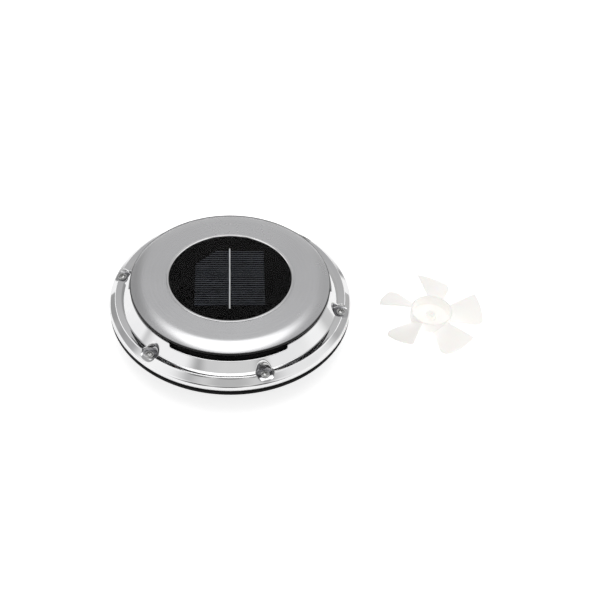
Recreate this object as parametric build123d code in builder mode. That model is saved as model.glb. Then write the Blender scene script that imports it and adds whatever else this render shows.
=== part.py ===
from build123d import *
from math import atan2, cos, degrees, hypot, radians, sin, tan
import os

# Solar attic fan: a low round roof vent with a motor, a battery and a solar panel.
# Millimetres. The roof plane is z = 0, +Z is outdoors, and the origin is the centre of the roof hole.

# ---- driving dimensions ----
SHEET = 0.8                     # stainless sheet of the cover and the trim ring
WALL = 1.5                      # moulded walls of the motor carrier
FIT = 0.05                      # gap round every screw and pin

COLLAR_R = 59.0                 # outside of the collar that drops through the roof
COLLAR_WALL = 2.5
COLLAR_DEPTH = 27.0
DAM_TOP = 17.0                  # the collar rises inside the vent and keeps rain out
SHOULDER_R = 60.5

GASKET_R, GASKET_BORE_R, GASKET_TOP = 107.9, 60.9, 3.0
PLATE_R, PLATE_TOP = 107.1, 5.4
UPSTAND_R, UPSTAND_WALL, UPSTAND_TOP = 86.2, 2.2, 21.4

RING_R = 108.2
LIP = [(108.2, 6.2), (107.4, 8.9), (105.6, 11.2)]    # the lip's rounded face
RIDGE_R, RIDGE_Z = 101.9, 14.7
CREASE_R, CREASE_Z = 96.7, 13.9
RING_TOP_R, RING_TOP = 88.0, 24.6
MOUTH_Z = 22.2                  # the ring's top edge is lower at its three outlet mouths
MOUTH_ANGLE = 68.0
MOUTHS = (-91.0, 29.0, 149.0)

SCREW_CIRCLE_R = 100.2
SCREW_ANGLES = [-13.0 + 60.0 * k for k in range(6)]
POCKET_R, POCKET_FLOOR, POCKET_TAPER = 7.4, 12.0, 9.0
STUD_R, SHANK_R = 2.1, 1.6       # a deck screw's thread below the roof, and its plain shank above
THREAD_TOP, SCREW_TIP_Z = -0.4, -7.0

RECESS_R, RECESS_Z = 55.7, 29.8
COVER_Z, SHOULDER_START_R, SHOULDER_Z = 33.9, 75.5, 33.5
COVER_BEND_R, HEM_R = 23.6, 1.2
POST_CIRCLE_R, POST_R, POST_TOP = 70.0, 6.0, 26.8
POST_ANGLES = [45.0 + 90.0 * k for k in range(4)]

PANEL_R, BOARD_Z, BOARD_T = 53.9, 30.6, 0.8
CELL_LEFT, CELL_RIGHT = -30.9, 30.3
CELL_FRONT, CELL_BACK = -34.1, 35.6
STRIPS, STRIP_GAP, CELL_T = 4, 0.5, 0.2

CAN_R, CAN_WALL = 12.2, 0.5
CAN_BOTTOM, CAN_TOP = -11.0, 1.4
SHAFT_R = 1.0
CUP_R = 14.2                    # motor tube of the carrier
CARRIER_BOTTOM, CARRIER_TOP = -5.8, 11.3
FOOT_CIRCLE_R, FOOT_R, FOOT_Z, ARM_H = 51.5, 4.5, 4.0, 4.0

BAY_X, BAY_Y0, BAY_Y1 = 29.5, 18.5, 33.7            # battery bay, inside
TRAY_X, TRAY_Y0, TRAY_Y1 = 18.5, -32.5, -17.0       # board tray, inside
BATTERY_R, BATTERY_Z = 7.25, 1.95

HUB_R, HUB_WALL, HUB_H, HUB_FACE = 19.2, 1.5, 11.0, 1.5
BLADES, TIP_R, BLADE_T = 5, 48.0, 1.3
IMPELLER_Z = -20.0
SPARE_AT = (185.3, 8.3, -COLLAR_DEPTH)
FIRST_BLADE = 2.0               # direction of the spare impeller's first blade

LEAD_R = 0.55

os.makedirs("parts", exist_ok=True)


def save(builder, name):
    """Label one finished piece and write its STEP file."""
    builder.part.label = name
    export_step(builder.part, f"parts/{name}.step")


def at(radius, angle, z=0.0):
    """A point at a radius and a direction from the fan's axis."""
    return Vector(radius * cos(radians(angle)), radius * sin(radians(angle)), z)


def around(radius, angles, z=0.0):
    """Upright places on a circle about the fan's axis."""
    return Locations(*[at(radius, angle, z) for angle in angles])


def tube(outer, inner, bottom, top):
    """A ring added in the open part builder."""
    with BuildSketch(Plane.XY.offset(bottom)) as section:
        Circle(outer)
        Circle(inner, mode=Mode.SUBTRACT)
    extrude(section.sketch, amount=top - bottom)


def block(x0, x1, y0, y1, z0, z1, mode=Mode.ADD):
    """A box between two corners in the open part builder."""
    with Locations(((x0 + x1) / 2, (y0 + y1) / 2, (z0 + z1) / 2)):
        Box(x1 - x0, y1 - y0, z1 - z0, mode=mode)


def rod(radius, bottom, top, mode=Mode.ADD):
    """An upright cylinder at each open location."""
    Cylinder(radius, top - bottom, align=(Align.CENTER, Align.CENTER, Align.MIN), mode=mode)


# ---- roof gasket ----
with BuildPart() as roof_gasket:
    tube(GASKET_R, GASKET_BORE_R, 0, GASKET_TOP)
    with around(SCREW_CIRCLE_R, SCREW_ANGLES):
        rod(STUD_R + FIT, 0, GASKET_TOP, mode=Mode.SUBTRACT)
save(roof_gasket, "roof_gasket")

# ---- base body: collar, plate, rain dam, upstand, bosses and posts in one moulding ----
COLLAR_BORE_R = COLLAR_R - COLLAR_WALL
BOSS_R, BOSS_TOP = 4.0, POCKET_FLOOR - SHEET
BOLT_R, BOLT_HEAD_R, COUNTERBORE_TOP = 2.0, 3.9, 7.0
FOOT_SCREW_R = 1.5
with BuildPart() as base_body:
    tube(COLLAR_R, COLLAR_BORE_R, -COLLAR_DEPTH, DAM_TOP)
    tube(SHOULDER_R, COLLAR_BORE_R, 0, PLATE_TOP)
    tube(PLATE_R, COLLAR_BORE_R, GASKET_TOP, PLATE_TOP)
    tube(UPSTAND_R, UPSTAND_R - UPSTAND_WALL, PLATE_TOP, UPSTAND_TOP)
    with around(SCREW_CIRCLE_R, SCREW_ANGLES, PLATE_TOP):
        rod(BOSS_R, PLATE_TOP, BOSS_TOP)
    with around(POST_CIRCLE_R, POST_ANGLES, PLATE_TOP):
        rod(POST_R, PLATE_TOP, POST_TOP)
    RIB_TOP, RIB_T, RIB_END_R = 10.6, 1.6, 103.5
    with PolarLocations((UPSTAND_R + RIB_END_R) / 2 - 0.5, 12, start_angle=2.0):
        with Locations((0, 0, (PLATE_TOP + RIB_TOP) / 2)):
            Box(RIB_END_R - UPSTAND_R + 1.0, RIB_T, RIB_TOP - PLATE_TOP)
    # feet for the motor carrier, on the collar's inside
    FOOT_BOTTOM = -2.0
    with PolarLocations(FOOT_CIRCLE_R, 4):
        with Locations((0, 0, FOOT_BOTTOM)):
            rod(FOOT_R, FOOT_BOTTOM, FOOT_Z)
        with Locations((FOOT_R / 2, 0, (FOOT_BOTTOM + FOOT_Z) / 2)):
            Box(FOOT_R + COLLAR_WALL, FOOT_R, FOOT_Z - FOOT_BOTTOM)
    with PolarLocations(FOOT_CIRCLE_R, 4):
        with Locations((0, 0, FOOT_BOTTOM + 1.0)):
            rod(FOOT_SCREW_R + FIT, FOOT_BOTTOM, FOOT_Z, mode=Mode.SUBTRACT)
    # screw holes, counterbores and drain slots
    with around(SCREW_CIRCLE_R, SCREW_ANGLES, GASKET_TOP):
        rod(STUD_R + FIT, GASKET_TOP, BOSS_TOP, mode=Mode.SUBTRACT)
    with around(POST_CIRCLE_R, POST_ANGLES, GASKET_TOP):
        rod(BOLT_R + FIT, GASKET_TOP, POST_TOP, mode=Mode.SUBTRACT)
        rod(BOLT_HEAD_R + 0.3, GASKET_TOP, COUNTERBORE_TOP, mode=Mode.SUBTRACT)
    DRAIN_W, DRAIN_H = 8.0, 3.0
    with PolarLocations(UPSTAND_R - UPSTAND_WALL / 2, 6, start_angle=-13.0):
        with Locations((0, 0, PLATE_TOP + DRAIN_H / 2)):
            Box(UPSTAND_WALL + 1.0, DRAIN_W, DRAIN_H, mode=Mode.SUBTRACT)
save(base_body, "base_body")

# ---- trim ring: pressed sheet with a lip, a ridge, a ledge, a sloping wall and six screw pockets ----
RING_CORE_R, CORE_BOTTOM, TURN_IN = 80.0, -2.0, 1.5


def ring_outline():
    """The pressed ring's outline, filled in down to below the lip, in the open sketch."""
    with BuildLine() as outline:
        Polyline(
            (RING_CORE_R, CORE_BOTTOM),
            (RING_R, CORE_BOTTOM),
            *LIP,
            (RIDGE_R, RIDGE_Z),
            (RIDGE_R - 0.7, CREASE_Z + 0.2),
            (CREASE_R, CREASE_Z),
            (RING_TOP_R, RING_TOP),
            (RING_CORE_R, RING_TOP),
            close=True,
        )
    make_face(outline.edges())


def pockets(grow):
    """Six tapered niches, larger by a wall thickness when grow is positive."""
    with BuildSketch(Plane.XY.offset(POCKET_FLOOR - grow)) as floors:
        with around(SCREW_CIRCLE_R, SCREW_ANGLES):
            Circle(POCKET_R + grow)
    extrude(floors.sketch, amount=RING_TOP, taper=-POCKET_TAPER, mode=Mode.SUBTRACT)


with BuildPart(mode=Mode.PRIVATE) as ring_inside:
    with BuildSketch(Plane.XZ):
        ring_outline()
        offset(amount=-SHEET, kind=Kind.INTERSECTION, mode=Mode.REPLACE)
    revolve(axis=Axis.Z)
    pockets(SHEET)

with BuildPart() as trim_ring:
    with BuildSketch(Plane.XZ):
        ring_outline()
    revolve(axis=Axis.Z)
    pockets(0)
    add(ring_inside.part, mode=Mode.SUBTRACT)
    Cylinder(RING_R + 1, PLATE_TOP * 2, mode=Mode.SUBTRACT)
    Cylinder(RING_TOP_R - TURN_IN, RING_TOP * 4, mode=Mode.SUBTRACT)
    with around(SCREW_CIRCLE_R, SCREW_ANGLES):
        rod(STUD_R + FIT, 0, POCKET_FLOOR, mode=Mode.SUBTRACT)
    for mouth in MOUTHS:
        with BuildSketch(Plane.XY.offset(MOUTH_Z)):
            with BuildLine():
                start, end = mouth - MOUTH_ANGLE / 2, mouth + MOUTH_ANGLE / 2
                reach = RING_R / cos(radians(MOUTH_ANGLE / 2))
                Polyline((0, 0), at(reach, start), at(reach, end), close=True)
            make_face()
        extrude(amount=RING_TOP, mode=Mode.SUBTRACT)
save(trim_ring, "trim_ring")

# ---- deck screws: pan head, cross recess, thread and point ----
HEAD_R, HEAD_H, HEAD_EDGE_H, POINT_H = 4.0, 2.6, 0.9, 3.0
CROSS_L, CROSS_W = 4.4, 0.9
with BuildPart() as deck_screws:
    with BuildPart(mode=Mode.PRIVATE) as one_screw:
        with BuildSketch(Plane.XZ):
            with BuildLine():
                Polyline(
                    (0, POCKET_FLOOR + HEAD_H),
                    (0, SCREW_TIP_Z),
                    (STUD_R, SCREW_TIP_Z + POINT_H),
                    (STUD_R, THREAD_TOP),
                    (SHANK_R, THREAD_TOP),
                    (SHANK_R, POCKET_FLOOR),
                    (HEAD_R, POCKET_FLOOR),
                    (HEAD_R, POCKET_FLOOR + HEAD_EDGE_H),
                )
                ThreePointArc(
                    (HEAD_R, POCKET_FLOOR + HEAD_EDGE_H),
                    (HEAD_R * 0.62, POCKET_FLOOR + 2.1),
                    (0, POCKET_FLOOR + HEAD_H),
                )
            make_face()
        revolve(axis=Axis.Z)
        with Locations((0, 0, POCKET_FLOOR + HEAD_H)):
            Box(CROSS_L, CROSS_W, HEAD_H, mode=Mode.SUBTRACT)
            Box(CROSS_W, CROSS_L, HEAD_H, mode=Mode.SUBTRACT)
    with around(SCREW_CIRCLE_R, SCREW_ANGLES):
        add(one_screw.part)
save(deck_screws, "deck_screws")

# ---- dome cover: spun sheet with a seat for the panel, a bent shoulder and a rolled rim ----
SEAT_HOLE_R = 40.0
with BuildPart() as dome_cover:
    with BuildSketch(Plane.XZ):
        with BuildLine():
            seat = Polyline((SEAT_HOLE_R, RECESS_Z), (RECESS_R, RECESS_Z), (RECESS_R, COVER_Z))
            top = Line(seat @ 1, (SHOULDER_START_R, SHOULDER_Z))
            bend = JernArc(top @ 1, top % 1, COVER_BEND_R, -33.4)
            JernArc(bend @ 1, bend % 1, HEM_R, -150)
            offset(amount=SHEET, side=Side.RIGHT)
        make_face()
    revolve(axis=Axis.Z)
save(dome_cover, "dome_cover")

# ---- cover fixings: weld nuts under the dome, screws up through the posts ----
NUT_R, NUT_TOP, BOLT_END = 4.5, 32.3, 31.0
with BuildPart() as cover_weld_nuts:
    with around(POST_CIRCLE_R, POST_ANGLES, POST_TOP + 0.2):
        rod(NUT_R, POST_TOP + 0.2, NUT_TOP)
    with around(POST_CIRCLE_R, POST_ANGLES, POST_TOP):
        rod(BOLT_R + FIT, POST_TOP, COVER_Z, mode=Mode.SUBTRACT)
save(cover_weld_nuts, "cover_weld_nuts")

with BuildPart() as cover_screws:
    with around(POST_CIRCLE_R, POST_ANGLES, COUNTERBORE_TOP):
        rod(BOLT_R, COUNTERBORE_TOP, BOLT_END)
    with around(POST_CIRCLE_R, POST_ANGLES, COUNTERBORE_TOP - 2.6):
        rod(BOLT_HEAD_R, COUNTERBORE_TOP - 2.6, COUNTERBORE_TOP)
save(cover_screws, "cover_screws")

# ---- solar panel: seal, board, cells, ribbon, lens, bezel and terminal block ----
with BuildPart() as panel_seal:
    tube(PANEL_R, SEAT_HOLE_R + 4, RECESS_Z, BOARD_Z)
save(panel_seal, "panel_seal")

TERMINAL_Y = -22.0
with BuildPart() as panel_board:
    with BuildSketch(Plane.XY.offset(BOARD_Z)):
        Circle(PANEL_R)
    extrude(amount=BOARD_T)
save(panel_board, "panel_board")

CELL_Z = BOARD_Z + BOARD_T
CUT_X, CUT_Y = 17.9, 17.2
with BuildPart() as solar_cells:
    strip = (CELL_BACK - CELL_FRONT - (STRIPS - 1) * STRIP_GAP) / STRIPS
    for k in range(STRIPS):
        front = CELL_FRONT + k * (strip + STRIP_GAP)
        block(CELL_LEFT, CELL_RIGHT, front, front + strip, CELL_Z, CELL_Z + CELL_T)
    with BuildSketch(Plane.XY.offset(CELL_Z)):
        with BuildLine():
            Polyline(
                (CELL_LEFT - 1, CELL_BACK + 1),
                (CELL_LEFT - 1, CELL_BACK - CUT_Y),
                (CELL_LEFT, CELL_BACK - CUT_Y),
                (CELL_LEFT + CUT_X, CELL_BACK),
                (CELL_LEFT + CUT_X, CELL_BACK + 1),
                close=True,
            )
        make_face()
    extrude(amount=CELL_T, mode=Mode.SUBTRACT)
save(solar_cells, "solar_cells")

RIBBON_X, RIBBON_W, RIBBON_T, RIBBON_OVER = -0.3, 1.5, 0.15, 3.6
RIBBON_Z = CELL_Z + CELL_T
with BuildPart() as cell_ribbon:
    block(
        RIBBON_X - RIBBON_W / 2, RIBBON_X + RIBBON_W / 2,
        CELL_FRONT - RIBBON_OVER, CELL_BACK + RIBBON_OVER,
        RIBBON_Z, RIBBON_Z + RIBBON_T,
    )
save(cell_ribbon, "cell_ribbon")

LENS_BOTTOM, LENS_TOP = 31.85, 32.9
with BuildPart() as panel_lens:
    with BuildSketch(Plane.XY.offset(LENS_BOTTOM)):
        Circle(PANEL_R)
    extrude(amount=LENS_TOP - LENS_BOTTOM)
    chamfer(panel_lens.edges().sort_by(Axis.Z)[-1], 0.3)
save(panel_lens, "panel_lens")

BEZEL_IN_R, BEZEL_OUT_R, BEZEL_FLANGE_R, BEZEL_TOP = 54.1, 55.5, 56.3, 34.5
with BuildPart() as panel_bezel:
    with BuildSketch(Plane.XZ):
        with BuildLine():
            Polyline(
                (BEZEL_IN_R, RECESS_Z),
                (BEZEL_OUT_R, RECESS_Z),
                (BEZEL_OUT_R, COVER_Z + FIT),
                (BEZEL_FLANGE_R, COVER_Z + FIT),
                (BEZEL_FLANGE_R, BEZEL_TOP - 0.3),
                (BEZEL_FLANGE_R - 0.3, BEZEL_TOP),
                (BEZEL_IN_R + 0.5, BEZEL_TOP),
                (BEZEL_IN_R, BEZEL_TOP - 0.5),
                close=True,
            )
        make_face()
    revolve(axis=Axis.Z)
save(panel_bezel, "panel_bezel")

TERMINAL_BOTTOM = 26.8
with BuildPart() as panel_terminal:
    block(-8, 8, TERMINAL_Y - 5, TERMINAL_Y + 5, TERMINAL_BOTTOM, BOARD_Z)
    fillet(panel_terminal.edges().filter_by(Axis.Z), 1.0)
save(panel_terminal, "panel_terminal")

# ---- motor carrier: motor tube, battery bay, board tray, and four arms to the collar's feet ----
LID_HOLES = [(x, y) for x in (-5.8, 5.8) for y in (15.8, -15.4)]
WEB_X, WEB_BOTTOM = 8.0, -2.8
NOTCH_W, NOTCH_Z = 1.6, 9.0
LEAD_X = 1.6
BATTERY_LEAD_X, MOTOR_LEAD_X = (-1.6, -3.6), (1.6, 3.6)
FLOOR_TOP = CARRIER_BOTTOM + WALL
RAIL = 1.4
KNOB_X, KNOB_Y, SLOT_X = 3.0, -24.0, 7.2
with BuildPart() as motor_carrier:
    tube(CUP_R, CAN_R + FIT * 2, CAN_BOTTOM - 1.0, CARRIER_TOP)
    tube(CUP_R, 8.0, CAN_BOTTOM - 1.0, CAN_BOTTOM - FIT)
    block(-BAY_X - 2, BAY_X + 2, BAY_Y0 - WALL, BAY_Y1 + WALL, CARRIER_BOTTOM, CARRIER_TOP)
    block(-TRAY_X - WALL, TRAY_X + WALL, TRAY_Y0 - WALL, TRAY_Y1 + WALL, CARRIER_BOTTOM, CARRIER_TOP)
    block(-WEB_X, WEB_X, CUP_R - 1.2, BAY_Y0 - 0.5, WEB_BOTTOM, CARRIER_TOP)
    block(-WEB_X, WEB_X, TRAY_Y1 + 0.5, -CUP_R + 1.2, WEB_BOTTOM, CARRIER_TOP)
    # flanges that the battery door slides on
    for y0, y1 in ((BAY_Y0 - WALL - RAIL, BAY_Y0 - WALL), (BAY_Y1 + WALL, BAY_Y1 + WALL + RAIL)):
        block(-BAY_X - 2, BAY_X + 2, y0, y1, CARRIER_BOTTOM, CARRIER_BOTTOM + 1.2)
    # arms and their end pads
    for angle, start in ((0, CUP_R - 1), (180, CUP_R - 1), (90, BAY_Y1 + 1), (270, 1 - TRAY_Y0)):
        arm = FOOT_CIRCLE_R - start
        with Locations(Pos(at(start + arm / 2, angle, FOOT_Z + ARM_H / 2)) * Rot(0, 0, angle)):
            Box(arm, 8.0, ARM_H)
    with PolarLocations(FOOT_CIRCLE_R, 4):
        with Locations((0, 0, FOOT_Z)):
            rod(FOOT_R, FOOT_Z, FOOT_Z + ARM_H)
    # hollows
    block(-BAY_X, BAY_X, BAY_Y0, BAY_Y1, CARRIER_BOTTOM, CARRIER_TOP, mode=Mode.SUBTRACT)
    block(-TRAY_X, TRAY_X, TRAY_Y0, TRAY_Y1, FLOOR_TOP, CARRIER_TOP, mode=Mode.SUBTRACT)
    block(
        -SLOT_X / 2, SLOT_X / 2, KNOB_Y - KNOB_X / 2 - 0.3, KNOB_Y + KNOB_X / 2 + 0.3,
        CARRIER_BOTTOM, FLOOR_TOP, mode=Mode.SUBTRACT,
    )
    with Locations((0, 0, CAN_BOTTOM - FIT)):
        rod(CAN_R + FIT * 2, CAN_BOTTOM, CARRIER_TOP + 1, mode=Mode.SUBTRACT)
    # notches for the leads, and screw holes
    for notches, back in ((BATTERY_LEAD_X, BAY_Y0 + 1), (MOTOR_LEAD_X, 0)):
        for x in notches:
            block(x - NOTCH_W / 2, x + NOTCH_W / 2, TRAY_Y1 - 1, back, NOTCH_Z, CARRIER_TOP, mode=Mode.SUBTRACT)
    with PolarLocations(FOOT_CIRCLE_R, 4):
        with Locations((0, 0, FOOT_Z)):
            rod(FOOT_SCREW_R + FIT, FOOT_Z, FOOT_Z + ARM_H, mode=Mode.SUBTRACT)
    with Locations(*[(x, y, CARRIER_TOP - 6) for x, y in LID_HOLES]):
        rod(1.0 + FIT, 0, 6, mode=Mode.SUBTRACT)
save(motor_carrier, "motor_carrier")

with BuildPart() as carrier_screws:
    with PolarLocations(FOOT_CIRCLE_R, 4):
        with Locations((0, 0, FOOT_BOTTOM + 1.5)):
            rod(FOOT_SCREW_R, FOOT_BOTTOM + 1.5, FOOT_Z + ARM_H)
        with Locations((0, 0, FOOT_Z + ARM_H)):
            rod(2.8, 0, 1.9)
    fillet(carrier_screws.edges().filter_by(GeomType.CIRCLE).group_by(Axis.Z)[-1], 0.8)
save(carrier_screws, "carrier_screws")

LID_BOTTOM, LID_T, GROMMET_R = 11.4, 1.5, 4.0
GROMMET_Y = -24.6
with BuildPart() as carrier_lid:
    with BuildSketch(Plane.XY.offset(LID_BOTTOM)):
        Circle(CUP_R)
        with Locations((0, (BAY_Y0 + BAY_Y1) / 2)):
            Rectangle(2 * BAY_X + 4, BAY_Y1 - BAY_Y0 + 2 * WALL)
        with Locations((0, (TRAY_Y0 + TRAY_Y1) / 2)):
            Rectangle(2 * (TRAY_X + WALL), TRAY_Y1 - TRAY_Y0 + 2 * WALL)
        Rectangle(2 * WEB_X, 2 * (-TRAY_Y1 + 0.5))
        with Locations((0, GROMMET_Y)):
            Circle(GROMMET_R + FIT, mode=Mode.SUBTRACT)
        with Locations(*LID_HOLES):
            Circle(1.0 + FIT, mode=Mode.SUBTRACT)
    extrude(amount=LID_T)
save(carrier_lid, "carrier_lid")

LID_TOP = LID_BOTTOM + LID_T
with BuildPart() as lid_screws:
    with Locations(*[(x, y, LID_TOP - 6.5) for x, y in LID_HOLES]):
        rod(1.0, 0, 6.5)
    with Locations(*[(x, y, LID_TOP) for x, y in LID_HOLES]):
        rod(2.0, 0, 1.3)
save(lid_screws, "lid_screws")

with BuildPart() as lead_grommet:
    with Locations((0, GROMMET_Y, LID_BOTTOM)):
        rod(GROMMET_R, 0, LID_T)
    with Locations((0, GROMMET_Y, LID_TOP)):
        rod(GROMMET_R + 1.2, 0, 1.2)
    with Locations((-LEAD_X, GROMMET_Y, LID_BOTTOM), (LEAD_X, GROMMET_Y, LID_BOTTOM)):
        rod(LEAD_R + 0.1, 0, LID_T + 1.2, mode=Mode.SUBTRACT)
save(lead_grommet, "lead_grommet")

# ---- motor, the part that stands still ----
BUSH_R, CAP_BUSH_R, CAP_T, CAP_BOSS_TOP = 2.9, 2.4, 1.4, 2.8
BRUSH_Y, BRUSH_T, TAB_X = 2.6, 0.3, 6.8
with BuildPart() as motor_can:
    tube(CAN_R, CAN_R - CAN_WALL, CAN_BOTTOM, CAN_TOP)
    tube(CAN_R, BUSH_R + FIT, CAN_BOTTOM, CAN_BOTTOM + 0.7)
save(motor_can, "motor_can")

with BuildPart() as motor_end_cap:
    tube(CAN_R - CAN_WALL - FIT, CAP_BUSH_R + FIT, CAN_TOP - CAP_T, CAN_TOP)
    tube(4.0, CAP_BUSH_R + FIT, CAN_TOP, CAP_BOSS_TOP)
    for y in (-BRUSH_Y - BRUSH_T, BRUSH_Y):
        block(TAB_X - 0.9, TAB_X + 0.9, y - 0.1, y + BRUSH_T + 0.1, -2, 4, mode=Mode.SUBTRACT)
save(motor_end_cap, "motor_end_cap")

with BuildPart() as motor_bushes:
    tube(BUSH_R, SHAFT_R + 0.03, CAN_BOTTOM - 1.4, CAN_BOTTOM + 1.4)
    tube(CAP_BUSH_R, SHAFT_R + 0.03, CAN_TOP - 1.2, CAP_BOSS_TOP)
save(motor_bushes, "motor_bushes")

MAGNET_IN_R, MAGNET_BOTTOM, MAGNET_TOP = 8.7, -9.4, -1.6
with BuildPart() as motor_magnets:
    tube(CAN_R - CAN_WALL - FIT, MAGNET_IN_R, MAGNET_BOTTOM, MAGNET_TOP)
    block(-4, 4, -CAN_R, CAN_R, MAGNET_BOTTOM, MAGNET_TOP, mode=Mode.SUBTRACT)
save(motor_magnets, "motor_magnets")

TAB_TOP = 4.6
with BuildPart() as motor_brushes:
    for y in (-BRUSH_Y - BRUSH_T, BRUSH_Y):
        block(-1.6, TAB_X + 0.7, y, y + BRUSH_T, -1.2, -0.4)
        block(TAB_X - 0.7, TAB_X + 0.7, y, y + BRUSH_T, -1.2, TAB_TOP)
save(motor_brushes, "motor_brushes")

# ---- motor, the part that turns ----
SHAFT_BOTTOM = IMPELLER_Z + 1.2
CORE_BOTTOM_Z, CORE_TOP_Z, CORE_R = -8.2, -2.8, 8.3
with BuildPart() as motor_shaft:
    with Locations((0, 0, SHAFT_BOTTOM)):
        rod(SHAFT_R, SHAFT_BOTTOM, CAP_BOSS_TOP - 0.2)
save(motor_shaft, "motor_shaft")

POLE_W = 2.2
with BuildPart() as rotor_core:
    with BuildSketch(Plane.XY.offset(CORE_BOTTOM_Z)):
        with PolarLocations(0, 3, start_angle=30):
            SlotArc(CenterArc((0, 0), CORE_R - 0.7, -46, 92), 1.4)
            with Locations((CORE_R / 2, 0)):
                Rectangle(CORE_R - 1, POLE_W)
        Circle(2.9)
        Circle(SHAFT_R + 0.01, mode=Mode.SUBTRACT)
    extrude(amount=CORE_TOP_Z - CORE_BOTTOM_Z)
save(rotor_core, "rotor_core")

COIL_X0, COIL_X1 = 3.2, 6.1
with BuildPart() as rotor_windings:
    with PolarLocations(0, 3, start_angle=30):
        with Locations(((COIL_X0 + COIL_X1) / 2, 0, (CORE_BOTTOM_Z + CORE_TOP_Z) / 2)):
            Box(COIL_X1 - COIL_X0, POLE_W + 1.2, CORE_TOP_Z - CORE_BOTTOM_Z + 1.6)
            Box(COIL_X1, POLE_W + 0.06, CORE_TOP_Z - CORE_BOTTOM_Z + 0.06, mode=Mode.SUBTRACT)
save(rotor_windings, "rotor_windings")

with BuildPart() as commutator:
    tube(2.4, SHAFT_R + 0.01, CORE_TOP_Z + 0.1, CAN_TOP - CAP_T - 0.2)
    with PolarLocations(2.4, 3):
        with Locations((0, 0, -0.8)):
            Box(0.8, 0.3, 1.2, mode=Mode.SUBTRACT)
save(commutator, "commutator")

# ---- battery, spring, contacts and door ----
BATTERY_Y = (BAY_Y0 + BAY_Y1) / 2
NUB_END, NUB_H, CELL_LENGTH = BAY_X - 0.6, 1.0, 49.5
PLATE_T = 0.4
along_x = Plane(origin=(NUB_END - NUB_H - CELL_LENGTH, BATTERY_Y, BATTERY_Z), x_dir=(0, 1, 0), z_dir=(1, 0, 0))
with BuildPart() as battery_cell:
    with BuildSketch(along_x):
        Circle(BATTERY_R)
    extrude(amount=CELL_LENGTH)
    fillet(battery_cell.edges().filter_by(GeomType.CIRCLE), 0.6)
    with BuildSketch(along_x.offset(CELL_LENGTH)):
        Circle(2.75)
    extrude(amount=NUB_H)
save(battery_cell, "battery_cell")

SPRING_R, WIRE_R, SPRING_PITCH = 4.0, 0.35, 1.7
spring_start = -BAY_X + PLATE_T + WIRE_R + 0.15
spring_length = NUB_END - NUB_H - CELL_LENGTH - spring_start - WIRE_R - 0.05
with BuildPart() as battery_spring:
    with BuildLine():
        coil = Helix(
            SPRING_PITCH, spring_length, SPRING_R,
            center=(spring_start, BATTERY_Y, BATTERY_Z), direction=(1, 0, 0),
        )
    with BuildSketch(Plane(origin=coil @ 0, z_dir=coil % 0)):
        Circle(WIRE_R)
    sweep(path=coil)
save(battery_spring, "battery_spring")

with BuildPart() as battery_contacts:
    for x in (-BAY_X + 0.05, BAY_X - PLATE_T - 0.05):
        block(x, x + PLATE_T, BATTERY_Y - 6, BATTERY_Y + 6, BATTERY_Z - 5, BATTERY_Z + 8.4)
save(battery_contacts, "battery_contacts")

DOOR_T, DOOR_GAP, LIP_T = 1.3, 0.2, 0.8
DOOR_TOP = CARRIER_BOTTOM - DOOR_GAP
RAIL_Y0, RAIL_Y1 = BAY_Y0 - WALL - RAIL, BAY_Y1 + WALL + RAIL
LIP_TOP_Z = CARRIER_BOTTOM + 1.2 + DOOR_GAP + 1.0
with BuildPart() as battery_door:
    block(-BAY_X, BAY_X, RAIL_Y0 - DOOR_GAP - LIP_T, RAIL_Y1 + DOOR_GAP + LIP_T, DOOR_TOP - DOOR_T, DOOR_TOP)
    for y, side in ((RAIL_Y0 - DOOR_GAP, -1), (RAIL_Y1 + DOOR_GAP, 1)):
        lip0, lip1 = sorted((y, y + side * LIP_T))
        block(-BAY_X, BAY_X, lip0, lip1, DOOR_TOP - DOOR_T, LIP_TOP_Z)
        lip0, lip1 = sorted((y - side * RAIL * 0.8, y + side * LIP_T))
        block(-BAY_X, BAY_X, lip0, lip1, LIP_TOP_Z - 1.0, LIP_TOP_Z)
    # finger grooves
    with Locations(*[(x, BATTERY_Y, DOOR_TOP - DOOR_T) for x in (-25, -23, -21)]):
        Box(0.8, 10, 0.8, mode=Mode.SUBTRACT)
save(battery_door, "battery_door")

# ---- control board, its parts, and the slide switch ----
PCB_BOTTOM, PCB_T = 0.9, 1.2
PCB_TOP = PCB_BOTTOM + PCB_T
SWITCH_TRAVEL = 3.0
with BuildPart() as control_board:
    block(-TRAY_X + 0.4, TRAY_X - 0.4, TRAY_Y0 + 0.4, TRAY_Y1 - 0.4, PCB_BOTTOM, PCB_TOP)
save(control_board, "control_board")

with BuildPart() as board_parts:
    for x, radius, height in ((-14.0, 2.5, 6.0), (14.0, 2.0, 5.0)):
        with Locations((x, -28, PCB_TOP)):
            rod(radius, 0, height)
    block(6.0, 11.0, -31.0, -27.0, PCB_TOP, PCB_TOP + 1.5)
    with Locations(Pos(-6, -30, PCB_TOP + 1.2) * Rot(0, 90, 0)):
        Cylinder(1.2, 4.5)
save(board_parts, "board_parts")

SWITCH_BOTTOM = FLOOR_TOP + 0.5
with BuildPart() as switch_body:
    block(-6.5, 6.5, KNOB_Y - 3, KNOB_Y + 3, SWITCH_BOTTOM, PCB_BOTTOM)
    block(
        -SLOT_X / 2, SLOT_X / 2, KNOB_Y - KNOB_X / 2 - 0.3, KNOB_Y + KNOB_X / 2 + 0.3,
        SWITCH_BOTTOM, SWITCH_BOTTOM + 2.4, mode=Mode.SUBTRACT,
    )
save(switch_body, "switch_body")

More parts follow.
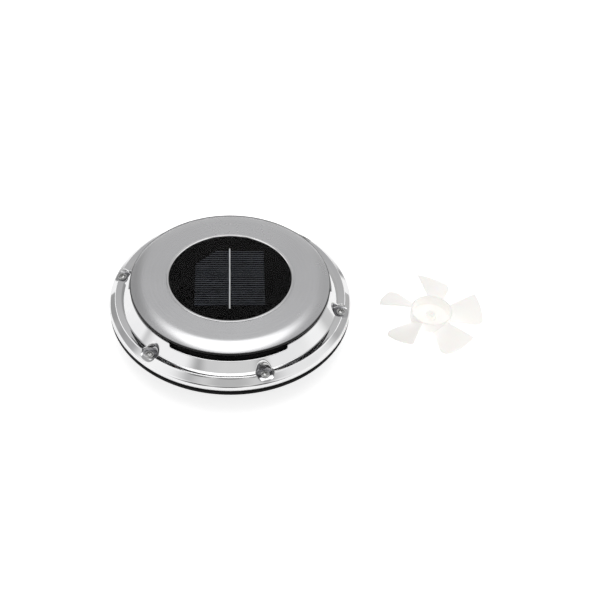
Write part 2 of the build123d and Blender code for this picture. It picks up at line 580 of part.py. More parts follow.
KNOB_START = -KNOB_X / 2 - SWITCH_TRAVEL / 2
with BuildPart() as switch_slider:
    block(
        KNOB_START, KNOB_START + KNOB_X, KNOB_Y - KNOB_X / 2, KNOB_Y + KNOB_X / 2,
        CARRIER_BOTTOM - 1.4, SWITCH_BOTTOM + 2.0,
    )
    chamfer(switch_slider.edges().group_by(Axis.Z)[0], 0.3)
save(switch_slider, "switch_slider")

# ---- insect screen, pressed into the collar's end ----
SCREEN_R, SCREEN_IN_R, SCREEN_BOTTOM, SCREEN_TOP = COLLAR_BORE_R - 0.3, 52.6, -26.0, -22.6
MESH_Z, MESH_T, MESH_PITCH, MESH_WIRE = -25.4, 0.4, 4.4, 0.7
with BuildPart() as insect_screen_frame:
    tube(SCREEN_R, SCREEN_IN_R, SCREEN_BOTTOM, SCREEN_TOP)
    with BuildSketch(Plane.XY.offset(MESH_Z + MESH_T + 0.1)):
        with PolarLocations(0, 2, start_angle=45):
            Rectangle(2 * SCREEN_IN_R + 1, 2.2)
    extrude(amount=1.4)
save(insect_screen_frame, "insect_screen_frame")

MESH_R = SCREEN_IN_R - 0.1
with BuildPart() as insect_screen_mesh:
    with BuildSketch(Plane.XY.offset(MESH_Z)):
        Circle(MESH_R)
        Circle(MESH_R - 1.2, mode=Mode.SUBTRACT)
        lines = int(MESH_R / MESH_PITCH)
        for k in range(-lines, lines + 1):
            reach = (MESH_R**2 - (k * MESH_PITCH) ** 2) ** 0.5 - 0.2
            with Locations((0, k * MESH_PITCH)):
                Rectangle(2 * reach, MESH_WIRE)
            with Locations((k * MESH_PITCH, 0)):
                Rectangle(MESH_WIRE, 2 * reach)
        Circle(MESH_R, mode=Mode.INTERSECT)
    extrude(amount=MESH_T)
save(insect_screen_mesh, "insect_screen_mesh")


# ---- impellers: five twisted blades on an open hub ----
HUB_BOSS_R, HUB_BOSS_H = 4.2, 5.0
ROOT_LOW, ROOT_HIGH, TIP_LOW, TIP_HIGH = -20.0, 20.0, -15.0, 25.0
BLADE_CORNER_R = 8.0


def edge_y(root_angle, tip_angle, x):
    """Where a blade's straight edge, drawn on from hub to tip, crosses a given x."""
    (x0, y0, _), (x1, y1, _) = at(HUB_R, root_angle), at(TIP_R, tip_angle)
    return y0 + (y1 - y0) * (x - x0) / (x1 - x0)


def blade():
    """One blade along +X, low edge at -Y and high edge at +Y, its lowest point at z = 0."""
    middle, rise = HUB_H / 2, HUB_H - BLADE_T
    with BuildPart(mode=Mode.PRIVATE) as one:
        for x in (HUB_R - 3, TIP_R + 2):
            low, high = edge_y(ROOT_LOW, TIP_LOW, x), edge_y(ROOT_HIGH, TIP_HIGH, x)
            slope = degrees(atan2(rise, high - low))
            plane = Plane(origin=(x, (low + high) / 2, middle), x_dir=(0, 1, 0), z_dir=(1, 0, 0))
            with BuildSketch(plane):
                Rectangle(hypot(high - low, rise), BLADE_T * cos(radians(slope)), rotation=slope)
        loft(ruled=True)
        with BuildSketch():
            with BuildLine():
                inner = HUB_R - 1
                Polyline(at(TIP_R, TIP_HIGH), at(inner, ROOT_HIGH), at(inner, ROOT_LOW), at(TIP_R, TIP_LOW))
                ThreePointArc(at(TIP_R, TIP_LOW), at(TIP_R, (TIP_LOW + TIP_HIGH) / 2), at(TIP_R, TIP_HIGH))
            outline = make_face()
            fillet(outline.vertices().group_by(Axis.X)[-1].sort_by(Axis.Y)[0], BLADE_CORNER_R)
        extrude(amount=HUB_H, mode=Mode.INTERSECT)
        Cylinder(HUB_R - 0.4, 4 * HUB_H, mode=Mode.SUBTRACT)
    return one.part


def impeller_at(origin, first, mirrored):
    """A whole impeller standing on its closed face, hub open upwards."""
    with BuildPart(Plane(origin=origin), mode=Mode.PRIVATE) as wheel:
        one = blade()
        if mirrored:
            one = mirror(one, about=Plane.XZ, mode=Mode.PRIVATE)
        with PolarLocations(0, BLADES, start_angle=first):
            add(one)
        Cylinder(HUB_R, HUB_H, align=(Align.CENTER, Align.CENTER, Align.MIN))
        with Locations((0, 0, HUB_FACE)):
            Cylinder(HUB_R - HUB_WALL, HUB_H, align=(Align.CENTER, Align.CENTER, Align.MIN), mode=Mode.SUBTRACT)
            Cylinder(HUB_BOSS_R, HUB_BOSS_H, align=(Align.CENTER, Align.CENTER, Align.MIN))
        with Locations((0, 0, HUB_FACE - 0.4)):
            rod(SHAFT_R + 0.01, 0, HUB_H, mode=Mode.SUBTRACT)
        # a locating rib on the boss
        with Locations((HUB_BOSS_R + 1.0, 0, HUB_FACE)):
            Box(2.6, 1.0, 3.6, align=(Align.CENTER, Align.CENTER, Align.MIN))
    return wheel.part


with BuildPart() as impeller:
    add(impeller_at((0, 0, IMPELLER_Z), 20.0, True))
save(impeller, "impeller")

with BuildPart() as spare_impeller:
    add(impeller_at(SPARE_AT, FIRST_BLADE, False))
save(spare_impeller, "spare_impeller")


# ---- leads ----
TIGHTEST_BEND = 1.5
RUN_Z = 10.2


def lead(name, points, bend):
    """An insulated lead along straight runs joined by tangent arcs, none wider than the bend given."""
    runs = [(b - a).length for a, b in zip(points, points[1:])]
    radii = []
    for k in range(1, len(points) - 1):
        turn = (points[k] - points[k - 1]).get_angle(points[k + 1] - points[k])
        widest = 0.45 * min(runs[k - 1], runs[k]) / tan(radians(turn / 2))
        radii.append(min(widest, bend))
    with BuildPart() as piece:
        with BuildLine() as route:
            FilletPolyline(*points, radius=radii)
        with BuildSketch(Plane(origin=route.line @ 0, z_dir=route.line % 0)):
            Circle(LEAD_R)
        sweep()
    save(piece, name)
    print(name, "length", round(route.wires()[0].length, 1), "radii", [round(r, 1) for r in radii])


def into_tray(x):
    """The last points of a lead that drops from its notch to the control board."""
    return [
        Vector(x, TRAY_Y1 - 0.4, RUN_Z),
        Vector(x, TRAY_Y1 - 3.2, 7.2),
        Vector(x, TRAY_Y1 - 3.2, PCB_TOP + 0.05),
    ]


for k, (colour, side) in enumerate((("red", 1), ("black", -1))):
    x = side * LEAD_X
    lead(f"panel_lead_{colour}", [
        Vector(x, TERMINAL_Y, TERMINAL_BOTTOM - 0.02),
        Vector(x, TERMINAL_Y, 23.4),
        Vector(x, TERMINAL_Y - 1.4, 20.2),
        Vector(x, GROMMET_Y, 16.0),
        Vector(x, GROMMET_Y, PCB_TOP + 0.05),
    ], bend=30.0)
    bay_y = BAY_Y0 + 1.2
    lead(f"battery_lead_{colour}", [
        Vector(side * (BAY_X - PLATE_T - 0.2), bay_y, RUN_Z),
        Vector(BATTERY_LEAD_X[k], bay_y, RUN_Z),
        *into_tray(BATTERY_LEAD_X[k]),
    ], bend=TIGHTEST_BEND)
    tab_y = side * (BRUSH_Y + BRUSH_T / 2)
    lead(f"motor_lead_{colour}", [
        Vector(TAB_X, tab_y, TAB_TOP + 0.05),
        Vector(TAB_X, tab_y, RUN_Z),
        Vector(MOTOR_LEAD_X[k], tab_y - 4.0, RUN_Z),
        *into_tray(MOTOR_LEAD_X[k]),
    ], bend=TIGHTEST_BEND)
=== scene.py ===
import math

import bpy
import numpy as np
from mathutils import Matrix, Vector


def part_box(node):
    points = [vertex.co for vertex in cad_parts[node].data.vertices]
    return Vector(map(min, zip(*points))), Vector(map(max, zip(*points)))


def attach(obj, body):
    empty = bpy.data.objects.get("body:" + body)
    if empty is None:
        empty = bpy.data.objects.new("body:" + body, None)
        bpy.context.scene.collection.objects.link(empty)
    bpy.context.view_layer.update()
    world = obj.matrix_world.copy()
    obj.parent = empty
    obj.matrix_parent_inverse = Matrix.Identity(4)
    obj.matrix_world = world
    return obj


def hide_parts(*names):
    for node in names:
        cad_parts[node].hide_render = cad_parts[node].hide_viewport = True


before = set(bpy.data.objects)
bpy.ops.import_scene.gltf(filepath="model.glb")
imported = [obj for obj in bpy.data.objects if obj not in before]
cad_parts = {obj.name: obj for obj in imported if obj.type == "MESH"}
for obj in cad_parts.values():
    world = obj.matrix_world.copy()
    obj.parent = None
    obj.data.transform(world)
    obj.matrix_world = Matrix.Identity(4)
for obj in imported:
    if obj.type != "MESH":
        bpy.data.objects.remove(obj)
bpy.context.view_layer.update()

# Solar attic fan. Lengths are in metres; MM turns millimetres into them.
MM = 0.001
TAU = 2 * math.pi


# ---- sizes read from the frame ----
ring_low, ring_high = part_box("trim_ring")
bezel_low, bezel_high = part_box("panel_bezel")
lens_low, lens_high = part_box("panel_lens")
board_low, board_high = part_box("panel_board")
cells_low, cells_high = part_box("solar_cells")
ribbon_low, ribbon_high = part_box("cell_ribbon")
screws_low, screws_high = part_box("deck_screws")
gasket_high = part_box("roof_gasket")[1]
spare_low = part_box("spare_impeller")[0]
wheel_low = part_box("impeller")[0]

RING_R, LIP_BOTTOM = ring_high.x, ring_low.z
COVER_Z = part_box("dome_cover")[1].z
SCREW_HEAD_H = 2.6 * MM
POCKET_FLOOR = screws_high.z - SCREW_HEAD_H

# ---- the screws' places and pockets, in millimetres and degrees ----
SCREW_CIRCLE_R = 100.2
SCREW_ANGLES = [-13.0 + 60.0 * k for k in range(6)]
POCKET_R, POCKET_SLOPE, POCKET_FILLET = 7.4, 81.0, 1.5


# ---- mesh helpers ----
def rounded(points, steps=8):
    """Corners (r, z) or (r, z, radius) in millimetres as an outline in metres, with the radii cut as arcs."""
    out = []
    for k, corner in enumerate(points):
        here = Vector(corner[:2])
        if len(corner) == 2:
            out.append(here)
            continue
        radius = corner[2]
        before = Vector(points[k - 1][:2]) - here
        after = Vector(points[(k + 1) % len(points)][:2]) - here
        half = before.angle(after) / 2
        before.normalize()
        after.normalize()
        reach = radius / math.tan(half)
        start = here + before * reach
        end = here + after * reach
        centre = here + (before + after).normalized() * (radius / math.sin(half))
        a0 = math.atan2(start.y - centre.y, start.x - centre.x)
        turn = math.atan2(end.y - centre.y, end.x - centre.x) - a0
        turn = (turn + math.pi) % TAU - math.pi
        for j in range(steps + 1):
            a = a0 + turn * j / steps
            out.append(centre + Vector((math.cos(a), math.sin(a))) * radius)
    return [(p.x * MM, p.y * MM) for p in out]


def piece(name, verts, faces, material, body, slot, replaces=(), sharp=40.0):
    """A finished mesh: shaded smooth with sharp corners kept, riding on its body."""
    mesh = bpy.data.meshes.new(name)
    mesh.from_pydata([tuple(v) for v in verts], [], [tuple(int(i) for i in f) for f in faces])
    mesh.validate()
    mesh.update()
    obj = bpy.data.objects.new(name, mesh)
    bpy.context.scene.collection.objects.link(obj)
    obj.data.materials.append(material)
    mesh.shade_smooth()
    mesh.set_sharp_from_angle(angle=math.radians(sharp))
    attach(obj, body)
    if replaces:
        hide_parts(*replaces)
    return obj


def lathe(outline, segments=256, centre=(0.0, 0.0, 0.0), loop=True):
    """An (r, z) outline turned about an upright axis. A point on the axis is one vertex."""
    turned_in = sum(a[0] * b[1] - b[0] * a[1] for a, b in zip(outline, outline[1:] + outline[:1])) > 0
    if not turned_in:
        outline = outline[::-1]
    verts, rings = [], []
    for r, z in outline:
        if abs(r) < 1e-7:
            rings.append([len(verts)] * segments)
            verts.append((centre[0], centre[1], centre[2] + z))
            continue
        rings.append(list(range(len(verts), len(verts) + segments)))
        for k in range(segments):
            a = TAU * k / segments
            verts.append((centre[0] + r * math.cos(a), centre[1] + r * math.sin(a), centre[2] + z))
    faces = []
    pairs = list(zip(rings, rings[1:]))
    if loop:
        pairs.append((rings[-1], rings[0]))
    for low, high in pairs:
        for k in range(segments):
            n = (k + 1) % segments
            quad = []
            for i in (low[k], low[n], high[n], high[k]):
                if i not in quad:
                    quad.append(i)
            if len(quad) > 2:
                faces.append(quad)
    return verts, faces


def joined(*parts):
    """Several vertex and face lists as one."""
    verts, faces = [], []
    for v, f in parts:
        base = len(verts)
        verts.extend(v)
        faces.extend([tuple(i + base for i in face) for face in f])
    return verts, faces


def grid_faces(rows, columns, wrap):
    """Quads of a grid of rows by columns, closed round in the column direction if wrap."""
    faces = []
    for i in range(rows - 1):
        for k in range(columns if wrap else columns - 1):
            n = (k + 1) % columns
            faces.append((i * columns + k, i * columns + n, (i + 1) * columns + n, (i + 1) * columns + k))
    return faces


def block(low, high, bevel):
    """A box with bevelled edges, corners in millimetres."""
    verts, faces = [], []
    low, high = np.array(low, float), np.array(high, float)
    middle, half = (low + high) / 2, (high - low) / 2
    signs = [(x, y, z) for x in (-1, 1) for y in (-1, 1) for z in (-1, 1)]
    index = {}
    for s in signs:
        for axis in range(3):
            p = middle + np.array(s) * (half - bevel)
            p[axis] = middle[axis] + s[axis] * half[axis]
            index[(s, axis)] = len(verts)
            verts.append(tuple(p * MM))
    for axis in range(3):
        u, v = (axis + 1) % 3, (axis + 2) % 3
        for side in (-1, 1):
            ring = []
            for a, b in ((-1, -1), (1, -1), (1, 1), (-1, 1)):
                s = [0, 0, 0]
                s[axis], s[u], s[v] = side, a, b
                ring.append(index[(tuple(s), axis)])
            faces.append(ring if side > 0 else ring[::-1])
        for a in (-1, 1):
            for b in (-1, 1):
                s0, s1 = [0, 0, 0], [0, 0, 0]
                s0[axis], s0[u], s0[v] = -1, a, b
                s1[axis], s1[u], s1[v] = 1, a, b
                s0, s1 = tuple(s0), tuple(s1)
                edge = [index[(s0, u)], index[(s1, u)], index[(s1, v)], index[(s0, v)]]
                faces.append(edge if a * b > 0 else edge[::-1])
    for s in signs:
        corner = [index[(s, 0)], index[(s, 1)], index[(s, 2)]]
        faces.append(corner if s[0] * s[1] * s[2] > 0 else corner[::-1])
    return verts, faces


# ---- materials ----
class Nodes:
    """A new material and short calls for its nodes."""

    def __init__(self, name):
        self.material = bpy.data.materials.new(name)
        self.material.use_nodes = True
        self.tree = self.material.node_tree
        self.shader = self.tree.nodes["Principled BSDF"]
        self.place = self.new("ShaderNodeTexCoord").outputs["Object"]

    def new(self, kind, **values):
        node = self.tree.nodes.new(kind)
        for key, value in values.items():
            setattr(node, key, value)
        return node

    def link(self, source, target):
        self.tree.links.new(source, target)

    def set(self, **values):
        for key, value in values.items():
            self.shader.inputs[key.replace("_", " ")].default_value = value

    def math(self, operation, a, b=None):
        node = self.new("ShaderNodeMath", operation=operation)
        for socket, value in zip(node.inputs, (a, b)):
            if value is None:
                continue
            if isinstance(value, (int, float)):
                socket.default_value = value
            else:
                self.link(value, socket)
        return node.outputs[0]

    def noise(self, scale, detail=3.0, roughness=0.5, where=None, stretch=None):
        where = where or self.place
        if stretch:
            mapping = self.new("ShaderNodeMapping")
            mapping.inputs["Scale"].default_value = stretch
            self.link(where, mapping.inputs["Vector"])
            where = mapping.outputs[0]
        node = self.new("ShaderNodeTexNoise")
        node.inputs["Scale"].default_value = scale
        node.inputs["Detail"].default_value = detail
        node.inputs["Roughness"].default_value = roughness
        self.link(where, node.inputs["Vector"])
        return node.outputs["Fac"]

    def ramp(self, factor, low, high, start=0.3, end=0.7):
        node = self.new("ShaderNodeMapRange")
        node.inputs["From Min"].default_value = start
        node.inputs["From Max"].default_value = end
        node.inputs["To Min"].default_value = low
        node.inputs["To Max"].default_value = high
        self.link(factor, node.inputs["Value"])
        return node.outputs[0]

    def blend(self, factor, a, b):
        node = self.new("ShaderNodeMix", data_type="RGBA")
        self.link(factor, node.inputs["Factor"])
        for name, value in (("A", a), ("B", b)):
            socket = [s for s in node.inputs if s.name == name and s.type == "RGBA"][0]
            if isinstance(value, tuple):
                socket.default_value = (*value, 1.0)
            else:
                self.link(value, socket)
        return [s for s in node.outputs if s.type == "RGBA"][0]

    def bump(self, height, strength, distance, under=None):
        node = self.new("ShaderNodeBump")
        node.inputs["Strength"].default_value = strength
        node.inputs["Distance"].default_value = distance
        self.link(height, node.inputs["Height"])
        if under is not None:
            self.link(under, node.inputs["Normal"])
        return node.outputs[0]

    def finish(self, colour=None, roughness=None, normal=None):
        if colour is not None:
            self.link(colour, self.shader.inputs["Base Color"])
        if roughness is not None:
            self.link(roughness, self.shader.inputs["Roughness"])
        if normal is not None:
            self.link(normal, self.shader.inputs["Normal"])
        return self.material

    def mottle(self, scale, low, high, detail=3.0):
        """A colour that wanders between two."""
        return self.blend(self.ramp(self.noise(scale, detail), 0.0, 1.0), low, high)

    def parts(self, vector):
        """The X, Y and Z of a vector."""
        split = self.new("ShaderNodeSeparateXYZ")
        self.link(vector, split.inputs[0])
        return split.outputs["X"], split.outputs["Y"], split.outputs["Z"]

    def length(self, a, b):
        """The length of a step of a along one axis and b along the other."""
        return self.math("SQRT", self.math("ADD", self.math("MULTIPLY", a, a), self.math("MULTIPLY", b, b)))


def moulded(name, low, high, roughness=(0.38, 0.5), grain=900.0, depth=0.03, **values):
    """Moulded plastic or rubber: slightly uneven colour and gloss over a fine surface grain."""
    n = Nodes(name)
    n.set(**values)
    tint = n.mottle(60.0, low, high)
    gloss = n.ramp(n.noise(140.0, detail=5.0), *roughness)
    grain_bump = n.bump(n.noise(grain, detail=2.0), 0.35, depth * MM)
    return n.finish(tint, gloss, grain_bump)


def metal(name, low, high, roughness, wave=0.02, scratch=None, **values):
    """Bare metal: faint tarnish, uneven polish, a slow waviness and, where asked, drawn scratches."""
    n = Nodes(name)
    n.set(Metallic=1.0, **values)
    tint = n.mottle(35.0, low, high, detail=4.0)
    gloss = n.ramp(n.noise(70.0, detail=6.0, roughness=0.65), *roughness)
    normal = n.bump(n.noise(28.0, detail=1.0), 0.5, wave * MM)
    if scratch:
        normal = n.bump(n.noise(1.0, detail=4.0, stretch=scratch), 0.25, 0.012 * MM, under=normal)
    return n.finish(tint, gloss, normal)


def spun_steel():
    """The cover's satin sheet: faint rings about the axis, and a band of painted shade, near black, at the
    rolled hem.
    """
    n = Nodes("spun_steel")
    n.set(Metallic=1.0)
    x, y, z = n.parts(n.place)
    radius = n.length(x, y)
    profile = n.new("ShaderNodeCombineXYZ")
    n.link(radius, profile.inputs["X"])
    n.link(z, profile.inputs["Z"])
    rings = n.noise(2600.0, detail=3.0, where=profile.outputs[0])
    tint = n.blend(n.ramp(rings, 0.0, 1.0), (0.70, 0.70, 0.71), (0.76, 0.76, 0.77))
    gloss = n.ramp(n.noise(24.0, detail=5.0, roughness=0.6), 0.24, 0.28)
    # painted shade: the rim's last 0.7 mm is tinted near black, as the shadow line under the rolled hem
    hem_start, hem_end = 87.7 * MM, 88.4 * MM
    hem = n.ramp(radius, 0.0, 1.0, hem_start, hem_end)
    tint = n.blend(hem, tint, (0.03, 0.03, 0.03))
    normal = n.bump(rings, 0.04, 0.02 * MM)
    return n.finish(tint, gloss, normal)


def ring_steel():
    """Polished sheet, darker with painted shade and duller in the inner half of each of the six screw
    pockets.
    """
    n = Nodes("polished_ring")
    n.set(Metallic=1.0)
    x, y, z = n.parts(n.place)
    sixth = TAU / 6
    # the direction, counted from half a sixth before the first screw and kept positive by two turns
    first = math.radians(SCREW_ANGLES[0]) - 2 * TAU - sixth / 2
    angle = n.math("SUBTRACT", n.math("ARCTAN2", y, x), first)
    folded = n.math("SUBTRACT", n.math("MODULO", angle, sixth), sixth / 2)
    r = n.length(x, y)
    along = n.math("SUBTRACT", n.math("MULTIPLY", r, n.math("COSINE", folded)), SCREW_CIRCLE_R * MM)
    across = n.math("MULTIPLY", r, n.math("SINE", folded))
    widening = 1 / math.tan(math.radians(POCKET_SLOPE))
    lift = n.math("MULTIPLY", n.math("SUBTRACT", z, POCKET_FLOOR), widening)
    niche = n.ramp(n.math("SUBTRACT", n.length(along, across), lift), 1.0, 0.0, 6.9 * MM, 7.5 * MM)
    # painted shade: the inner half of each pocket is tinted dark grey, where shade falls in the recess
    pocket_shade = n.math("MULTIPLY", niche, n.ramp(along, 1.0, 0.25, -1.0 * MM, 4.0 * MM))
    unshaded = n.mottle(35.0, (0.84, 0.84, 0.85), (0.90, 0.90, 0.90), detail=4.0)
    tint = n.blend(pocket_shade, unshaded, (0.20, 0.20, 0.21))
    polish = n.ramp(n.noise(70.0, detail=6.0), 0.03, 0.07)
    gloss = n.math("ADD", polish, n.math("MULTIPLY", pocket_shade, 0.14))
    return n.finish(tint, gloss, n.bump(n.noise(26.0, detail=1.0), 0.5, 0.02 * MM))


def silicon():
    """Dark cells with thin printed fingers along X and faint crystal mottling."""
    n = Nodes("silicon")
    n.set(Specular_IOR_Level=0.05)
    finger_pitch, finger_share = 2.7 * MM, 0.14
    phase = n.math("FRACT", n.math("DIVIDE", n.parts(n.place)[1], finger_pitch))
    finger = n.math("LESS_THAN", phase, finger_share)
    crystal = n.new("ShaderNodeTexVoronoi")
    crystal.inputs["Scale"].default_value = 140.0
    n.link(n.place, crystal.inputs["Vector"])
    grain = n.ramp(crystal.outputs["Distance"], 0.0, 1.0, 0.0, 1.0)
    body = n.blend(grain, (0.003, 0.0035, 0.005), (0.006, 0.007, 0.010))
    tint = n.blend(finger, body, (0.13, 0.14, 0.155))
    gloss = n.ramp(n.noise(80.0), 0.22, 0.34)
    return n.finish(tint, gloss, n.bump(finger, 0.3, 0.02 * MM))


def clear_lens():
    """Clear acrylic, with the faintest smear in its gloss."""
    n = Nodes("clear_lens")
    n.set(Transmission_Weight=1.0, IOR=1.12)
    tint = n.mottle(30.0, (0.97, 0.98, 0.99), (0.99, 1.0, 1.0))
    return n.finish(tint, n.ramp(n.noise(45.0, detail=6.0), 0.015, 0.05))


spun = spun_steel()
screw_steel = metal(
    "screw_steel", (0.42, 0.42, 0.42), (0.56, 0.56, 0.55), (0.16, 0.30), scratch=(300.0, 300.0, 1400.0)
)
bezel_steel = metal("bezel_steel", (0.85, 0.85, 0.86), (0.90, 0.90, 0.90), (0.04, 0.09), wave=0.01)
rubber = moulded(
    "gasket_rubber", (0.003, 0.003, 0.003), (0.006, 0.006, 0.006), (0.6, 0.78), 1400.0, 0.05,
    Specular_IOR_Level=0.12,
)
black_abs = moulded(
    "black_plastic", (0.014, 0.014, 0.015), (0.022, 0.022, 0.023), (0.36, 0.50), 1100.0, 0.03
)
panel_black = moulded(
    "panel_black", (0.0008, 0.0008, 0.0008), (0.002, 0.002, 0.002), (0.3, 0.4), 500.0, 0.01,
    Specular_IOR_Level=0.03,
)
foam = moulded("foam_black", (0.02, 0.02, 0.02), (0.035, 0.035, 0.035), (0.8, 0.9), 1800.0, 0.1)
# painted light: a weak glow of its own brightens the pale plastic, in place of the light that passes through
# thin pale plastic
ivory_painted_glow = moulded(
    "ivory_plastic", (0.93, 0.92, 0.89), (0.96, 0.955, 0.935), (0.30, 0.42), 260.0, 0.015,
    Subsurface_Weight=0.12, Subsurface_Scale=0.004,
    Emission_Color=(1.0, 0.985, 0.95, 1.0), Emission_Strength=0.17,
)
tinned = metal("tinned_copper", (0.88, 0.88, 0.87), (0.95, 0.95, 0.94), (0.30, 0.5), wave=0.05)
cell_face = silicon()
lens_clear = clear_lens()


# ---- trim ring: pressed sheet with six screw pockets and three lower outlet mouths ----
MOUTHS, MOUTH_HALF, MOUTH_RAMP = (-91.0, 29.0, 149.0), 34.0, 1.3
MOUTH_DROP = 2.4
SHEET = 0.8
CREASE = (96.7, 13.9)
WALL_TOP = (88.6, 23.86)
SKIN_STEP = 0.28                # spacing of the rows down the ring's outer skin
TURNED_EDGE = [(-0.35, 0.33), (-0.8, 0.5), (-1.3, 0.45), (-1.55, 0.2), (-1.5, -0.15), (-1.2, -0.35)]
POCKET_BLEND = 2.2


def pocket_height(rho):
    """Height of a pocket's floor, fillet and steep wall at a distance from its screw, in millimetres."""
    slope = math.radians(POCKET_SLOPE)
    floor = POCKET_FLOOR / MM
    start = POCKET_R - POCKET_FILLET * math.tan(slope / 2)
    end = start + POCKET_FILLET * math.sin(slope)
    run = np.clip(rho - start, 0, end - start)
    arc = floor + POCKET_FILLET - np.sqrt(np.maximum(POCKET_FILLET**2 - run**2, 0))
    wall = np.maximum(rho - end, 0) * math.tan(slope)
    return np.where(rho < start, floor, arc + wall)


def soft_min(a, b, width):
    """The lower of two heights, blended where they are within a width of each other."""
    h = np.maximum(width - np.abs(a - b), 0.0) / width
    return np.minimum(a, b) - h * h * width / 4


def ring_angles():
    """Directions round the ring, closer together at the pockets."""
    near, fine, coarse = 6.5, 0.14, 0.55
    out = []
    for screw in SCREW_ANGLES:
        out.extend(screw + np.arange(-near, near, fine))
        out.extend(screw + np.arange(near, 60 - near, coarse))
    return np.radians(np.array(out))


def mouth_share(theta):
    """1 in the three outlet mouths, 0 elsewhere, with a short smooth ramp at each end."""
    degrees = np.degrees(theta)
    share = np.zeros_like(theta)
    for mouth in MOUTHS:
        away = np.abs((degrees - mouth + 180) % 360 - 180)
        t = np.clip((MOUTH_HALF - away) / MOUTH_RAMP + 0.5, 0, 1)
        share = np.maximum(share, t * t * (3 - 2 * t))
    return share


def outer_skin():
    """The ring's outer outline in millimetres, from the lip up to the wall's top, in short steps."""
    base = rounded([
        (RING_R / MM - 0.15, LIP_BOTTOM / MM),
        (RING_R / MM, LIP_BOTTOM / MM + 0.15),
        (RING_R / MM, 9.0, 4.2),
        (102.75, 13.7, 0.5),
        (102.05, 14.7, 0.4),
        (101.0, 14.5, 0.5),
        (CREASE[0], CREASE[1], 1.1),
        WALL_TOP,
    ], steps=9)
    dense = []
    for (r0, z0), (r1, z1) in zip(base, base[1:]):
        length = math.hypot(r1 - r0, z1 - z0)
        count = max(1, round(length / (SKIN_STEP * MM))) if r0 < RING_R - 1e-6 else 1
        for k in range(count):
            dense.append((r0 + (r1 - r0) * k / count, z0 + (z1 - z0) * k / count))
    dense.append(base[-1])
    return np.array(dense) / MM


def trim_ring():
    theta = ring_angles()
    outer = outer_skin()
    crease_row = next(i for i, p in enumerate(outer) if p[0] < CREASE[0] - 0.9)
    rows = []
    run, rise = WALL_TOP[0] - CREASE[0], WALL_TOP[1] - CREASE[1]
    keep = 1 - mouth_share(theta) * MOUTH_DROP / rise
    for i, (r, z) in enumerate(outer):
        if i > crease_row:
            r0, z0 = outer[crease_row]
            share = (r - r0) / (WALL_TOP[0] - r0)
            top_r = CREASE[0] + run * keep
            top_z = CREASE[1] + rise * keep
            rr = r0 + share * (top_r - r0)
            zz = z0 + share * (top_z - z0)
        else:
            rr = np.full_like(theta, r)
            zz = np.full_like(theta, z)
        rows.append((rr, zz))
    # the top edge turns in, and the inner skin runs back down a sheet's thickness behind
    top_r, top_z = rows[-1]
    pocketed = len(rows)
    for turn_r, turn_z in TURNED_EDGE:
        rows.append((top_r + turn_r, top_z + turn_z))
    behind = len(rows)
    inner = [(94.6, 13.4), (96.2, 13.0), (101.4, 13.4), (104.6, 10.9), (106.6, 8.2)]
    inner.append((RING_R / MM - SHEET, LIP_BOTTOM / MM))
    for r, z in inner:
        rows.append((np.full_like(theta, r), np.full_like(theta, z)))
    r = np.array([row[0] for row in rows])
    z = np.array([row[1] for row in rows])
    x, y = r * np.cos(theta), r * np.sin(theta)
    for angle in SCREW_ANGLES:
        a = math.radians(angle)
        rho = np.hypot(x - SCREW_CIRCLE_R * math.cos(a), y - SCREW_CIRCLE_R * math.sin(a))
        z[2:pocketed] = soft_min(z[2:pocketed], pocket_height(rho[2:pocketed]), POCKET_BLEND)
        back = z[behind:-1]
        under = rho[behind:-1] < POCKET_R + 2.0
        z[behind:-1] = np.where(under, np.minimum(back, POCKET_FLOOR / MM - SHEET), back)
    verts = np.stack([x, y, z], -1).reshape(-1, 3) * MM
    faces = grid_faces(len(rows), len(theta), True)
    last, count = (len(rows) - 1) * len(theta), len(theta)
    faces += [(last + k, last + (k + 1) % count, (k + 1) % count, k) for k in range(count)]
    piece("trim_ring_skin", verts, faces, ring_steel(), "vent", "ring_steel", ["trim_ring"], sharp=50)


trim_ring()


# ---- dome cover ----
def arc(centre, radius, start, end, steps):
    """Points of an arc in degrees, anticlockwise when end is larger, in millimetres."""
    out = []
    for k in range(steps + 1):
        a = math.radians(start + (end - start) * k / steps)
        out.append((centre[0] + radius * math.cos(a), centre[1] + radius * math.sin(a)))
    return out


def inward(point, distance, angle):
    """A point moved a distance against a direction that leans out from upright by an angle in degrees."""
    a = math.radians(angle)
    return point[0] - distance * math.sin(a), point[1] - distance * math.cos(a)


def dome_outline():
    """Outer skin from the seat's hole out to the rolled rim, and the inner skin back."""
    hole_r, seat_r, seat_z, cover_z = 40.0, 55.7, 29.8, COVER_Z / MM
    bend_r, hem_r, hem_end = 23.6, 1.2, 60
    shoulder_r, shoulder_z, tilt, lean = 75.5, 33.5, 1.2, 34.6
    # the top slopes down gently from the panel's edge to the shoulder
    flat_r, flat_steps, slope_drop, slope_run = 57.5, 10, 0.4, 19.8
    centre = inward((shoulder_r, shoulder_z), bend_r, tilt)
    bend = arc(centre, bend_r, 90 - tilt, 90 - lean, 20)
    hem_centre = inward(bend[-1], hem_r, lean)
    hem = arc(hem_centre, hem_r, 90 - lean, -lean - hem_end, 14)
    hem_in = arc(hem_centre, hem_r - SHEET, -lean - hem_end, 90 - lean, 10)
    bend_in = arc(centre, bend_r - SHEET, 90 - lean, 90 - tilt, 20)
    corners = [(hole_r, seat_z), (seat_r, seat_z, 0.5), (seat_r, cover_z, 0.9), (shoulder_r, shoulder_z)]
    seat = rounded(corners, 5)[:-1]
    flat = []
    for k in range(flat_steps):
        share = k / flat_steps
        fallen = slope_drop * (1.8 + 17.9 * share) / slope_run
        flat.append((flat_r + (shoulder_r - flat_r) * share, cover_z - fallen))
    back = [(seat_r + SHEET, cover_z - SHEET), (seat_r + SHEET, seat_z - SHEET), (hole_r, seat_z - SHEET)]
    points = [(r / MM, z / MM) for r, z in seat] + flat + bend + hem[1:] + hem_in + bend_in[1:] + back
    return [(r * MM, z * MM) for r, z in points]


piece("dome_shell", *lathe(dome_outline(), 384), spun, "vent", "dome_steel", ["dome_cover"], sharp=45)


